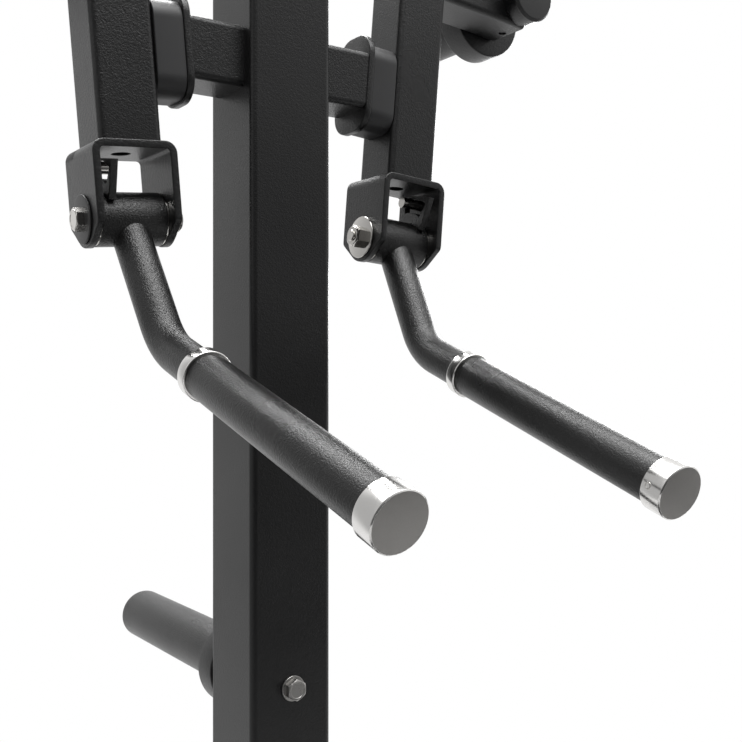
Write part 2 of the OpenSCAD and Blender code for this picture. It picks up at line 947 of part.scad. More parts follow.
module stop_pin() {
  color(zinc)
    on_barrel()
      translate([ear_in, -pin_ahead, pin_orbit * cos(pin_angle)])
        rotate([0, -90, 0])
          bevel_bar(pin_d, pin_len, 0.2);
}

module pivot_bolt() {
  len = clevis_w + pad_t + washer_t + nut_h + bolt_out;
  color(zinc)
    on_barrel()
      translate([clevis_w / 2 + pad_t, 0, 0])
        along_x()
          bolt(bolt_d, bolt_af, bolt_head_h, len);
}

module pivot_pad() {
  color(black)
    on_barrel()
      translate([clevis_w / 2, 0, 0])
        along_x()
          collar(disc_d, bolt_d + 2 * snug, pad_t);
}

module pivot_nut() {
  color(zinc)
    on_barrel()
      translate([-clevis_w / 2, 0, 0])
        rotate([0, -90, 0]) {
          washer(disc_d, bolt_d + 2 * snug, washer_t);
          translate([0, 0, washer_t])
            lock_nut(bolt_d, bolt_af, nut_h);
        }
}

// Handle's solid of radius r from the pivot to the end; the bend is thinner by a hair,
// as a bent tube is, and runs into both legs
module handle_path(r, end) {
  leg = leg_len - bend_run;
  lap = 1;
  rotate([-leg_angle, 0, 0]) {
    translate([0, 0, -leg])
      cylinder(r = r, h = leg);
    translate([0, -bend_r, -leg])
      rotate([-90, 0, 90])
        rotate([0, 0, -lap])
          rotate_extrude(angle = bend_angle + 2 * lap)
            translate([bend_r, 0])
              circle(r - snug);
    translate([0, -bend_r * (1 - cos(bend_angle)), -leg - bend_r * sin(bend_angle)])
      rotate([-bend_angle, 0, 0])
        translate([0, 0, -end])
          cylinder(r = r, h = end);
  }
}

// Side outline of the stop lug, X backward and Y up from the handle pivot
module lug_outline() {
  polygon([[lug_rear, lug_foot], [lug_rear, lug_rear_h],
           [-lug_front - (lug_front_h - lug_foot) * tan(lug_slope), lug_front_h], [-lug_front, lug_foot]]);
}

// Curved slot that the stop pin travels in, as wide as the pin and its lower clearance
module lug_slot() {
  out_r = pin_orbit + pin_d / 2 + slot_over;
  in_r = pin_orbit - pin_d / 2 - slot_under;
  a0 = 90 + pin_angle - slot_half;
  a1 = 90 + pin_angle + handle_swing + slot_spare + slot_half;
  far = out_r * 1.3;
  difference() {
    intersection() {
      circle(out_r);
      polygon([[0, 0], [far * cos(a0), far * sin(a0)], [far * cos((a0 + a1) / 2), far * sin((a0 + a1) / 2)],
               [far * cos(a1), far * sin(a1)]]);
    }
    circle(in_r);
  }
}

// Barrel, bent tube and stop lug welded into one piece
module handle() {
  straight = grip_reach - bend_run - 6;
  color(charcoal)
    on_barrel()
      difference() {
        union() {
          along_x()
            cylinder(d = barrel_d, h = barrel_len, center = true);
          difference() {
            handle_path(handle_d / 2, straight);
            handle_path(handle_d / 2 - handle_wall, straight + cut);
          }
          translate([lug_x, 0, 0])
            rotate([90, 0, 90])
              linear_extrude(lug_t)
                difference() {
                  lug_outline();
                  lug_slot();
                }
        }
        along_x()
          cylinder(d = bush_d + 2 * snug, h = barrel_len + 2 * cut, center = true);
      }
}

// Flanged bushes pressed into both ends of the barrel
module barrel_bushes() {
  in_r = bolt_d / 2 + run_fit;
  color(zinc)
    on_barrel()
      for (s = [-1, 1])
        translate([s * barrel_len / 2, 0, 0])
          rotate([0, s * 90, 0])
            rotate_extrude()
              polygon([[in_r, -bush_len], [bush_d / 2, -bush_len], [bush_d / 2, 0],
                       [barrel_d / 2 - 0.6, 0], [barrel_d / 2 - 0.6, flange_t], [in_r, flange_t]]);
}

module grip_ring() {
  color(chrome)
    on_grip()
      translate([0, 0, -grip_reach + ring_back])
        difference() {
          bevel_bar(ring_d, ring_w, 0.8);
          translate([0, 0, -cut])
            cylinder(d = handle_d + 2 * snug, h = ring_w + 2 * cut);
        }
}

module grip() {
  color(black)
    on_grip()
      translate([0, 0, -grip_reach + cap_len])
        difference() {
          cylinder(d = grip_d, h = ring_back - cap_len);
          translate([0, 0, -cut])
            cylinder(d = handle_d + 2 * snug, h = ring_back - cap_len + 2 * cut);
        }
}

// Cup over the end of the tube with a bevelled rim and a tapped hole for the set screw
module grip_cap() {
  r = cap_d / 2;
  face = 6;
  color(chrome)
    on_grip()
      translate([0, 0, -grip_reach])
        difference() {
          rotate_extrude()
            polygon([[0, 0], [r - cap_bevel, 0], [r, cap_bevel], [r, cap_len], [handle_d / 2 + snug, cap_len],
                     [handle_d / 2 + snug, face], [0, face]]);
          translate([-r, 0, (cap_len + face) / 2])
            along_x()
              cylinder(d = set_screw_d + 2 * snug, h = r, center = true);
        }
}

module set_screw() {
  r = cap_d / 2;
  face = 6;
  len = r - handle_d / 2 - 2 * snug;
  color(zinc)
    on_grip()
      translate([-r + 0.6, 0, -grip_reach + (cap_len + face) / 2])
        along_x()
          difference() {
            cylinder(d = set_screw_d, h = len - 0.6);
            translate([0, 0, -cut])
              cylinder(d = set_screw_d * 0.5, h = 1.6 + cut, $fn = 6);
          }
}

centre_rail();
front_foot();
rear_foot();
foot_end_caps();
foot_pads();
base_saddle();
platform();
platform_mat();
column();
column_flange();
flange_gussets();
flange_bolts();
column_cap();
crossbar();
stop_plates();
bumpers();
head_plate_front();
head_plate_rear();
head_bolts();
pivot_shafts();
shaft_bolts();
storage_peg();
storage_collar();
storage_bolt();

on_arm(1) arm();  // arm_right
on_arm(1) hub_bearings();  // hub_bearings_right
on_arm(1) lever();  // lever_right
on_arm(1) weight_horn();  // weight_horn_right
on_arm(1) horn_collar();  // horn_collar_right
on_arm(1) horn_caps();  // horn_caps_right
on_arm(1) clevis();  // clevis_right
on_arm(1) stop_pin();  // stop_pin_right
on_arm(1) pivot_bolt();  // pivot_bolt_right
on_arm(1) pivot_pad();  // pivot_pad_right
on_arm(1) pivot_nut();  // pivot_nut_right
on_arm(1) handle();  // handle_right
on_arm(1) barrel_bushes();  // barrel_bushes_right
on_arm(1) grip_ring();  // grip_ring_right
on_arm(1) grip();  // grip_right
on_arm(1) grip_cap();  // grip_cap_right
on_arm(1) set_screw();  // set_screw_right

on_arm(-1) arm();  // arm_left
on_arm(-1) hub_bearings();  // hub_bearings_left
on_arm(-1) lever();  // lever_left
on_arm(-1) weight_horn();  // weight_horn_left
on_arm(-1) horn_collar();  // horn_collar_left
on_arm(-1) horn_caps();  // horn_caps_left
on_arm(-1) clevis();  // clevis_left
on_arm(-1) stop_pin();  // stop_pin_left
on_arm(-1) pivot_bolt();  // pivot_bolt_left
on_arm(-1) pivot_pad();  // pivot_pad_left
on_arm(-1) pivot_nut();  // pivot_nut_left
on_arm(-1) handle();  // handle_left
on_arm(-1) barrel_bushes();  // barrel_bushes_left
on_arm(-1) grip_ring();  // grip_ring_left
on_arm(-1) grip();  // grip_left
on_arm(-1) grip_cap();  // grip_cap_left
on_arm(-1) set_screw();  // set_screw_left
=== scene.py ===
import math
import bmesh
import bpy
import numpy as np
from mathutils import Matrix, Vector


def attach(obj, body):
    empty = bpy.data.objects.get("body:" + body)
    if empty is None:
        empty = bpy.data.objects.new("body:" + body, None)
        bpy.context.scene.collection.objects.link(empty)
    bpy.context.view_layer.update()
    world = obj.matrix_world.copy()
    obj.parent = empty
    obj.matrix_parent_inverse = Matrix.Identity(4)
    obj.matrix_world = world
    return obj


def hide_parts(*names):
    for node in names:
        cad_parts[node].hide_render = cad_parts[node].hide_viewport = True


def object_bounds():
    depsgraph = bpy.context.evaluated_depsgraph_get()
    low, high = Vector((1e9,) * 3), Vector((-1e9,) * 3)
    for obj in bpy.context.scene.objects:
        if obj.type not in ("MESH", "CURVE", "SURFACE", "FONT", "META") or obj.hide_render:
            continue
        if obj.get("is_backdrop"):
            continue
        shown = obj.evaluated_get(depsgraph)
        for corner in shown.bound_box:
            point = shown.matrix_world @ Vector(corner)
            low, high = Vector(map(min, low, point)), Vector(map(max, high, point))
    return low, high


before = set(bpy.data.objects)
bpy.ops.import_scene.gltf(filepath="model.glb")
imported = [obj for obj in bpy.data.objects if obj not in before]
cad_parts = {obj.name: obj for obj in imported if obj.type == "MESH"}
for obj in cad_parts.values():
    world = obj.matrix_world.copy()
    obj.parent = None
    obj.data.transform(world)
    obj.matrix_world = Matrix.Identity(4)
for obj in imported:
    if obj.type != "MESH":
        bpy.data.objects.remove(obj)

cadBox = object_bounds()
print("frame loaded")

# where the arms hang, in mm: the part's own numbers
machine = {
    "columnSide": 75.0,
    "columnY": 110.0,
    "armSide": 50.0,
    "pivotX": 171.6,
    "pivotZ": 1430.0,
    "lean": 4.8,              # degrees, inward at the bottom
    "pegZ": 538.5,
    "armLength": 456.3,       # pivot to the top of the clevis
    "barOverClevis": 82.0,    # top of the clevis up to the crossbar's centre line
    "clevisDrop": 57.0,       # top of the clevis to the handle pivot
}
leanRad = math.radians(machine["lean"])
armDrop = machine["armLength"] - machine["barOverClevis"]
barrelZ = -(machine["armLength"] + machine["clevisDrop"])
halfArm = machine["armSide"] / 2
play = 0.05                   # mm between a ring's bore and what it sits on
hands = ((1, "right"), (-1, "left"))
# how many points go round a turned piece, and round the peg's end corner
roundPoints = {"tiny": 36, "small": 48, "large": 96, "fine": 128, "corner": 10}


def armToWorld(side):
    # turns mm in one arm's frame (X outward, Y backward, Z up the arm) to metres in the machine's
    c, s = math.cos(leanRad), math.sin(leanRad)

    def place(p):
        x = machine["pivotX"] + p[..., 0] * c + p[..., 2] * s
        z = machine["pivotZ"] - p[..., 0] * s + p[..., 2] * c
        return np.stack([side * x, machine["columnY"] + p[..., 1], z], -1) / 1000
    return place


def frameToWorld(p):
    # mm in the machine's own frame to metres
    return np.asarray(p, float) / 1000


# shapes: each is a grid of points worked out as whole arrays

def unit(v):
    # each vector divided by its own length
    return v / np.linalg.norm(v, axis=-1, keepdims=True)


def gridMesh(name, grid, place, closedU=True, capStart=True, capEnd=True, smoothAngle=32.0):
    # grid[i, j] is point j of ring i; rings close on themselves, and end rings are capped at their mean
    rows, cols = grid.shape[:2]
    verts = place(grid.reshape(-1, 3))
    i, j = np.meshgrid(np.arange(rows - 1), np.arange(cols if closedU else cols - 1), indexing="ij")
    k = (j + 1) % cols
    quads = np.stack([i * cols + j, i * cols + k, (i + 1) * cols + k, (i + 1) * cols + j], -1)
    faces = quads.reshape(-1, 4).tolist()
    extra = []
    for wanted, row in ((capStart, 0), (capEnd, rows - 1)):
        if wanted:
            hub = len(verts) + len(extra)
            extra.append(place(grid[row].mean(0)[None])[0])
            ring = row * cols + np.arange(cols)
            faces += np.stack([ring, np.roll(ring, -1), np.full(cols, hub)], -1).tolist()
    if extra:
        verts = np.vstack([verts, extra])
    return finishMesh(name, verts, faces, smoothAngle)


def finishMesh(name, verts, faces, smoothAngle):
    # joins points that coincide, turns the faces outward, keeps edges past the angle sharp
    mesh = bpy.data.meshes.new(name)
    mesh.from_pydata(verts.tolist(), [], faces)
    bm = bmesh.new()
    bm.from_mesh(mesh)
    bmesh.ops.remove_doubles(bm, verts=bm.verts, dist=1e-6)
    bmesh.ops.dissolve_degenerate(bm, edges=bm.edges, dist=1e-7)
    bmesh.ops.recalc_face_normals(bm, faces=bm.faces)
    bm.to_mesh(mesh)
    bm.free()
    mesh.shade_smooth()
    mesh.set_sharp_from_angle(angle=math.radians(smoothAngle))
    piece = bpy.data.objects.new(name, mesh)
    bpy.context.scene.collection.objects.link(piece)
    return piece


def roundCorners(corners, radii, perCorner=10):
    # closed outline whose corners are arcs: each arc is tangent to both sides, centre on the bisector
    p = np.asarray(corners, float)
    r = np.broadcast_to(np.asarray(radii, float), (len(p),))
    a = unit(np.roll(p, 1, 0) - p)
    b = unit(np.roll(p, -1, 0) - p)
    half = np.arccos(np.clip((a * b).sum(1), -1, 1)) / 2
    centre = p + unit(a + b) * (r / np.sin(half))[:, None]
    start = p + a * (r / np.tan(half))[:, None] - centre
    end = p + b * (r / np.tan(half))[:, None] - centre
    t = np.linspace(0, 1, perCorner)[None, :, None]
    arc = start[:, None] * (1 - t) + end[:, None] * t
    arc *= r[:, None, None] / np.maximum(np.linalg.norm(arc, axis=2, keepdims=True), 1e-9)
    return (centre[:, None] + arc).reshape(-1, 2)


def evenly(outline, count):
    # the same closed outline with count points at even steps of arc length
    loop = np.vstack([outline, outline[:1]])
    s = np.concatenate([[0], np.cumsum(np.linalg.norm(np.diff(loop, axis=0), axis=1))])
    t = np.linspace(0, s[-1], count, endpoint=False)
    return np.stack([np.interp(t, s, loop[:, 0]), np.interp(t, s, loop[:, 1])], -1)


def inset(outline, distance):
    # every point moved inward along the mean normal of its two sides
    after = np.roll(outline, -1, 0)
    tangent = unit(outline - np.roll(outline, 1, 0)) + unit(after - outline)
    normal = unit(np.stack([-tangent[:, 1], tangent[:, 0]], -1))
    area = (outline[:, 0] * after[:, 1] - after[:, 0] * outline[:, 1]).sum()
    return outline + normal * distance * np.sign(area)


def edgeProfile(thickness, radius, steps=5):
    # rows of (inset of the outline, height) round a plate's rim, with quarter circles at both edges
    a = np.linspace(0, math.pi / 2, steps)
    low = np.stack([radius * (1 - np.sin(a)), radius * (1 - np.cos(a))], -1)
    high = np.stack([radius * (1 - np.sin(a[::-1])), thickness - radius * (1 - np.cos(a[::-1]))], -1)
    return np.vstack([low, high])


def roundedPlate(name, outline, thickness, radius, lay, place):
    # the outline inset by the edge profile at each height; both faces are capped
    profile = edgeProfile(thickness, radius)
    rings = [np.column_stack([inset(outline, d), np.full(len(outline), h)]) for d, h in profile]
    return gridMesh(name, lay(np.array(rings)), place)


def plateWithHole(name, outline, hole, thickness, radius, across, lay, place, holeRadius=0.3):
    # rings run from the hole to the rim over the top, round the edge and back below: a closed loop of rings
    t = np.linspace(0, 1, across)[:, None, None]
    rim = edgeProfile(thickness, radius)
    lip = edgeProfile(thickness, holeRadius, 3)
    outer = [np.column_stack([inset(outline, d), np.full(len(outline), h)]) for d, h in rim]
    inner = [np.column_stack([inset(hole, -d), np.full(len(hole), h)]) for d, h in lip]
    bottom = inner[0][None] * (1 - t) + outer[0][None] * t
    top = outer[-1][None] * (1 - t) + inner[-1][None] * t
    rings = np.vstack([bottom, np.array(outer[1:-1]), top, np.array(inner[::-1][1:-1]), bottom[:1]])
    return gridMesh(name, lay(rings), place, capStart=False, capEnd=False)


def ringAbout(axis, segments):
    # the axis with length 1, even angles round it, and the directions square to it at those angles
    axis = unit(np.asarray(axis, float))
    ref = np.array([0.0, 0.0, 1.0]) if abs(axis[2]) < 0.9 else np.array([0.0, 1.0, 0.0])
    e1 = unit(np.cross(axis, ref))
    e2 = np.cross(axis, e1)
    a = np.linspace(0, 2 * math.pi, segments, endpoint=False)
    return axis, a, np.cos(a)[:, None] * e1 + np.sin(a)[:, None] * e2


def turned(name, profile, origin, axis, place, segments=72, closedLoop=False):
    # profile rows are (radius, distance along the axis); each is carried round the axis as a ring
    axis, _, around = ringAbout(axis, segments)
    p = np.asarray(profile, float)
    if closedLoop:
        p = np.vstack([p, p[:1]])
    grid = np.asarray(origin, float) + p[:, 1, None, None] * axis + p[:, 0, None, None] * around
    return gridMesh(name, grid, place, capStart=not closedLoop, capEnd=not closedLoop)


def filleted(points, radius, perCorner=5):
    # an open profile whose inner corners are replaced by arcs, tangent to both neighbours
    p = np.asarray(points, float)
    out = [p[0]]
    for before, corner, after in zip(p[:-2], p[1:-1], p[2:]):
        a, b = before - corner, after - corner
        la, lb = np.linalg.norm(a), np.linalg.norm(b)
        a, b = a / la, b / lb
        half = math.acos(np.clip(a @ b, -1, 1)) / 2
        run = min(radius / math.tan(half), la * 0.45, lb * 0.45)
        r = run * math.tan(half)
        if half > 1.5 or r < 1e-4:
            out.append(corner)
            continue
        centre = corner + (a + b) / np.linalg.norm(a + b) * (r / math.sin(half))
        t = np.linspace(0, 1, perCorner)[:, None]
        arc = (corner + a * run - centre) * (1 - t) + (corner + b * run - centre) * t
        arc *= r / np.linalg.norm(arc, axis=1, keepdims=True)
        out += list(centre + arc)
    out.append(p[-1])
    return np.array(out)


# bolt heads and nuts: radii as shares of half the width across flats, heights in mm
hexShape = {"segments": 144, "rows": 26, "coneShare": 0.94, "coneSlope": 1.75, "cornerShare": 1.155,
            "foot": 0.4, "footSlope": 0.5}


def hexHead(name, across, height, origin, axis, place, dish=0.35):
    # r = the least of the hexagon's flat / cos(angle from the flat), the top's cone and the foot's cone
    axis, a, around = ringAbout(axis, hexShape["segments"])
    flat, foot = across / 2, hexShape["foot"]
    fold = (a + math.pi / 6) % (math.pi / 3) - math.pi / 6
    six = flat / np.cos(fold)
    z = np.concatenate([[0.0, foot], np.linspace(foot + 0.1, height, hexShape["rows"])])
    cone = flat * hexShape["coneShare"] + (height - z) * hexShape["coneSlope"]
    base = flat * hexShape["cornerShare"] - np.clip(foot - z, 0, None) * hexShape["footSlope"]
    r = np.minimum(six[None], np.minimum(cone, base)[:, None])
    # the top face sinks a little inside its rim: rows of (share of the radius, height over the top)
    lid = [(0.86, 0.0), (0.80, -0.06), (0.76, -dish), (0.4, -dish)]
    z = np.concatenate([z, [height + d for _, d in lid]])
    r = np.vstack([r] + [np.minimum(flat * share, r[-1]) for share, _ in lid])
    grid = np.asarray(origin, float) + z[:, None, None] * axis + r[:, :, None] * around[None]
    return gridMesh(name, grid, place, smoothAngle=24.0)


# materials: an effect that several finishes use is a node group, built once

def newGroup(name, inputs, outputs):
    group = bpy.data.node_groups.new(name, "ShaderNodeTree")
    for label, kind, value in inputs:
        socket = group.interface.new_socket(label, in_out="INPUT", socket_type=kind)
        if value is not None:
            socket.default_value = value
    for label, kind in outputs:
        group.interface.new_socket(label, in_out="OUTPUT", socket_type=kind)
    return group, group.nodes.new("NodeGroupInput"), group.nodes.new("NodeGroupOutput")


def node(tree, kind, links=None, **settings):
    made = tree.nodes.new(kind)
    for key, value in settings.items():
        setattr(made, key, value)
    for socket, source in (links or {}).items():
        if hasattr(source, "is_linked"):
            tree.links.new(source, made.inputs[socket])
        else:
            made.inputs[socket].default_value = source
    return made


def maths(tree, operation, *values):
    return node(tree, "ShaderNodeMath", dict(enumerate(values)), operation=operation).outputs[0]


def ranged(tree, value, low, high, start=0.0, end=1.0, kind="LINEAR"):
    # goes from start to end while the value goes from low to high
    made = node(tree, "ShaderNodeMapRange", {"Value": value, "From Min": low, "From Max": high,
                "To Min": start, "To Max": end}, interpolation_type=kind)
    return made.outputs[0]


def eased(tree, value, low, high, start=0.0):
    # the same with soft ends, up to 1
    return ranged(tree, value, low, high, start, kind="SMOOTHSTEP")


def blend(tree, share, first, second):
    return node(tree, "ShaderNodeMix", {0: share, 2: first, 3: second}, data_type="FLOAT").outputs[0]


grainShape = {"pitScale": 2.3, "pitShare": 0.35, "speckFrom": 0.62, "speckTo": 0.76,
              "cloudFrom": 0.3, "cloudTo": 0.7, "cloudShift": 0.04}
markShape = {"from": 0.3, "to": 0.7, "smoother": -0.03, "rougher": 0.05, "depth": 0.00003}


def buildGrain():
    # powder grain: coarse lumps plus a share of finer pits; gives height, a speckle mask and a slow cloud
    group, gin, gout = newGroup(
        "powderGrain",
        [("Size", "NodeSocketFloat", 600.0), ("Speckle", "NodeSocketFloat", 0.5),
         ("Cloud", "NodeSocketFloat", 14.0)],
        [("Height", "NodeSocketFloat"), ("Specks", "NodeSocketFloat"), ("Cloudiness", "NodeSocketFloat")])
    where = node(group, "ShaderNodeTexCoord").outputs["Object"]
    lumps = node(group, "ShaderNodeTexNoise", {"Vector": where, "Scale": gin.outputs["Size"],
                 "Detail": 2.0, "Roughness": 0.55}).outputs["Fac"]
    finer = maths(group, "MULTIPLY", gin.outputs["Size"], grainShape["pitScale"])
    pits = node(group, "ShaderNodeTexVoronoi", {"Vector": where, "Scale": finer}, feature="F1")
    height = maths(group, "MULTIPLY_ADD", pits.outputs["Distance"], grainShape["pitShare"], lumps)
    specks = ranged(group, lumps, grainShape["speckFrom"], grainShape["speckTo"], 0.0,
                    gin.outputs["Speckle"])
    cloud = node(group, "ShaderNodeTexNoise", {"Vector": where, "Scale": gin.outputs["Cloud"],
                 "Detail": 3.0, "Roughness": 0.5})
    group.links.new(height, gout.inputs["Height"])
    group.links.new(specks, gout.inputs["Specks"])
    group.links.new(cloud.outputs["Fac"], gout.inputs["Cloudiness"])
    return group


def buildMarks():
    # lathe marks: noise squeezed along one axis; gives a height and a roughness shift
    group, gin, gout = newGroup(
        "latheMarks", [("Stretch", "NodeSocketVector", (60.0, 60.0, 3000.0))],
        [("Height", "NodeSocketFloat"), ("Shift", "NodeSocketFloat")])
    where = node(group, "ShaderNodeTexCoord")
    scaled = node(group, "ShaderNodeVectorMath", {0: where.outputs["Object"], 1: gin.outputs["Stretch"]},
                  operation="MULTIPLY")
    marks = node(group, "ShaderNodeTexNoise", {"Vector": scaled.outputs[0], "Scale": 1.0, "Detail": 3.0})
    shift = ranged(group, marks.outputs["Fac"], markShape["from"], markShape["to"],
                   markShape["smoother"], markShape["rougher"])
    group.links.new(marks.outputs["Fac"], gout.inputs["Height"])
    group.links.new(shift, gout.inputs["Shift"])
    return group


grainGroup = buildGrain()
markGroup = buildMarks()


def grainMaterial(name, look):
    # powder coat, rubber or moulded plastic: specks vary the colour, the cloud varies the roughness
    mat = bpy.data.materials.new(name)
    mat.use_nodes = True
    tree = mat.node_tree
    bsdf = tree.nodes["Principled BSDF"]
    grain = node(tree, "ShaderNodeGroup", {"Size": look["grainSize"], "Speckle": look["speckle"],
                 "Cloud": look["cloud"]}, node_tree=grainGroup)
    # a colour mix takes its two colours in sockets 6 and 7 and gives the result in socket 2
    base = node(tree, "ShaderNodeMix", {0: grain.outputs["Specks"], 6: (*look["color"], 1),
                7: (*look["fleck"], 1)}, data_type="RGBA")
    tree.links.new(base.outputs[2], bsdf.inputs["Base Color"])
    rough = ranged(tree, grain.outputs["Cloudiness"], grainShape["cloudFrom"], grainShape["cloudTo"],
                   look["roughness"] - grainShape["cloudShift"], look["roughness"] + grainShape["cloudShift"])
    tree.links.new(rough, bsdf.inputs["Roughness"])
    bump = node(tree, "ShaderNodeBump", {"Height": grain.outputs["Height"], "Strength": look["relief"],
                "Distance": look["depth"]})
    tree.links.new(bump.outputs[0], bsdf.inputs["Normal"])
    bsdf.inputs["IOR"].default_value = look["ior"]
    return mat


def metalMaterial(name, look):
    # plated metal: lathe marks shift the roughness and lift the surface a little
    mat = bpy.data.materials.new(name)
    mat.use_nodes = True
    tree = mat.node_tree
    bsdf = tree.nodes["Principled BSDF"]
    marks = node(tree, "ShaderNodeGroup", {"Stretch": look["stretch"]}, node_tree=markGroup)
    rough = maths(tree, "ADD", marks.outputs["Shift"], look["roughness"])
    tree.links.new(rough, bsdf.inputs["Roughness"])
    bump = node(tree, "ShaderNodeBump", {"Height": marks.outputs["Height"], "Strength": look["relief"],
                "Distance": markShape["depth"]})
    tree.links.new(bump.outputs[0], bsdf.inputs["Normal"])
    bsdf.inputs["Base Color"].default_value = (*look["color"], 1)
    bsdf.inputs["Metallic"].default_value = 1.0
    return mat


finishes = {
    "framePaint": {"color": (0.0075, 0.0075, 0.0078), "fleck": (0.018, 0.018, 0.019), "grainSize": 640.0,
                   "speckle": 0.5, "cloud": 9.0, "roughness": 0.31,
                   "relief": 0.55, "depth": 0.0006, "ior": 1.46},
    "columnPaint": {"color": (0.0075, 0.0075, 0.0078), "fleck": (0.018, 0.018, 0.019), "grainSize": 640.0,
                    "speckle": 0.4, "cloud": 9.0, "roughness": 0.31,
                    "relief": 0.38, "depth": 0.0005, "ior": 1.46},
    "handlePaint": {"color": (0.008, 0.008, 0.008), "fleck": (0.020, 0.020, 0.020), "grainSize": 640.0,
                    "speckle": 0.7, "cloud": 12.0, "roughness": 0.30,
                    "relief": 0.65, "depth": 0.0007, "ior": 1.5},
    "gripRubber": {"color": (0.005, 0.005, 0.005), "fleck": (0.030, 0.030, 0.030), "grainSize": 640.0,
                   "speckle": 0.9, "cloud": 15.0, "roughness": 0.29,
                   "relief": 0.55, "depth": 0.0005, "ior": 1.5},
    "bumperRubber": {"color": (0.020, 0.020, 0.021), "fleck": (0.025, 0.025, 0.026), "grainSize": 900.0,
                     "speckle": 0.3, "cloud": 20.0, "roughness": 0.5,
                     "relief": 0.08, "depth": 0.0002, "ior": 1.5},
    "matRubber": {"color": (0.024, 0.024, 0.025), "fleck": (0.034, 0.034, 0.035), "grainSize": 500.0,
                  "speckle": 0.6, "cloud": 8.0, "roughness": 0.7,
                  "relief": 0.4, "depth": 0.0005, "ior": 1.45},
    "capPlastic": {"color": (0.018, 0.018, 0.018), "fleck": (0.022, 0.022, 0.022), "grainSize": 800.0,
                   "speckle": 0.3, "cloud": 10.0, "roughness": 0.42,
                   "relief": 0.15, "depth": 0.0002, "ior": 1.48},
}
plated = {
    "chromeSide": {"color": (0.76, 0.75, 0.735), "roughness": 0.17, "relief": 0.0,
                   "stretch": (300.0, 2500.0, 300.0)},
    "chromeFace": {"color": (0.30, 0.292, 0.282), "roughness": 0.42, "relief": 0.25,
                   "stretch": (900.0, 900.0, 900.0)},
    "brightZinc": {"color": (0.60, 0.585, 0.56), "roughness": 0.11, "relief": 0.02,
                   "stretch": (900.0, 900.0, 900.0)},
    "dullZinc": {"color": (0.36, 0.352, 0.34), "roughness": 0.30, "relief": 0.05,
                 "stretch": (900.0, 900.0, 900.0)},
}
mats = {name: grainMaterial(name, look) for name, look in finishes.items()}
mats.update({name: metalMaterial(name, look) for name, look in plated.items()})
print("materials built")


def dress(piece, material, body, replaced=()):
    piece.data.materials.clear()
    piece.data.materials.append(mats[material])
    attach(piece, body)
    if replaced:
        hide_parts(*replaced)
    return piece


# the CAD nodes that stay get their finishes
nodeFinish = {"column": "columnPaint", "foot_end_caps": "capPlastic", "column_cap": "capPlastic",
              "foot_pads": "matRubber", "platform_mat": "matRubber", "flange_bolts": "brightZinc",
              "head_bolts": "brightZinc",
              "shaft_bolts": "brightZinc", "pivot_shafts": "brightZinc", "hub_bearings": "brightZinc",
              "stop_pin": "brightZinc", "barrel_bushes": "brightZinc", "set_screw": "brightZinc"}
for name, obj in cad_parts.items():
    kind = name.replace("_right", "").replace("_left", "")
    finish = mats[nodeFinish.get(kind, "framePaint")]
    for s in obj.material_slots:
        s.material = finish
    if not obj.material_slots:
        obj.data.materials.append(finish)


# bumpers and the plates behind them
bumper = {"width": 50.0, "height": 78.0, "thickness": 25.0, "corner": 17.0, "edge": 0.9, "drop": 6.5,
          "gap": 0.3}
stopPlate = {"width": 52.0, "height": 88.0, "thickness": 6.0, "corner": 20.0, "edge": 1.0, "drop": 4.0}


def stopStack(x, look, name, side):
    # a rounded rectangle in the arm's YZ plane, its thickness along X
    w, h = look["width"] / 2, look["height"] / 2
    outline = evenly(roundCorners([(-w, -h), (w, -h), (w, h), (-w, h)], look["corner"], 16), 160)

    def lay(p):
        return np.stack([x + p[..., 2], p[..., 0], p[..., 1] - armDrop - look["drop"]], -1)
    return roundedPlate(name, outline, look["thickness"], look["edge"], lay, armToWorld(side))


for side, hand in hands:
    x = -halfArm - bumper["gap"] - bumper["thickness"]
    pad = stopStack(x, bumper, "bumper_" + hand, side)
    dress(pad, "bumperRubber", "frame", ("bumpers",) if side > 0 else ())
    plate = stopStack(x - stopPlate["thickness"], stopPlate, "stopPlate_" + hand, side)
    dress(plate, "framePaint", "frame", ("stop_plates",) if side > 0 else ())
print("bumpers done")


# clevis: a flat blank with a hole, folded over two bends
clevis = {"width": 68.0, "depth": 62.0, "thickness": 6.0, "bend": 9.5, "earRound": 22.0,
          "earStraight": 61.0, "hole": 15.0, "edge": 0.9, "corner": 5.0, "sharp": 0.01}


def clevisBlank():
    # half lengths along the folded middle line: flat top, quarter bend, straight ear
    r = clevis["bend"] - clevis["thickness"] / 2
    flat = clevis["width"] / 2 - clevis["bend"]
    bend = r * math.pi / 2
    toEar = flat + bend - clevis["bend"]        # length on the blank at which the ear's depth counts from 0
    w, drop, tipRound = clevis["depth"] / 2, machine["clevisDrop"], clevis["earRound"]
    shoulder = clevis["earStraight"] - drop
    reach = math.hypot(w, shoulder)
    angle = -math.atan2(shoulder, w) - math.acos(tipRound / reach)
    arc = np.linspace(angle, -math.pi - angle, 24)
    tip = np.stack([toEar + drop - tipRound * np.sin(arc), -tipRound * np.cos(arc)], -1)
    side, n = toEar + clevis["earStraight"], 6
    shoulderRound, sharp = clevis["corner"], clevis["sharp"]
    corner = roundCorners([(side, w), (0, w), (0, -w), (side, -w), tuple(tip[0]), tuple(tip[-1])],
                          [shoulderRound, sharp, sharp, shoulderRound, sharp, sharp], n)
    end = np.vstack([corner[3 * n:4 * n], tip, corner[:n]])    # shoulder, round tip, other shoulder
    return evenly(np.vstack([end, -end]), 300), flat, bend, r


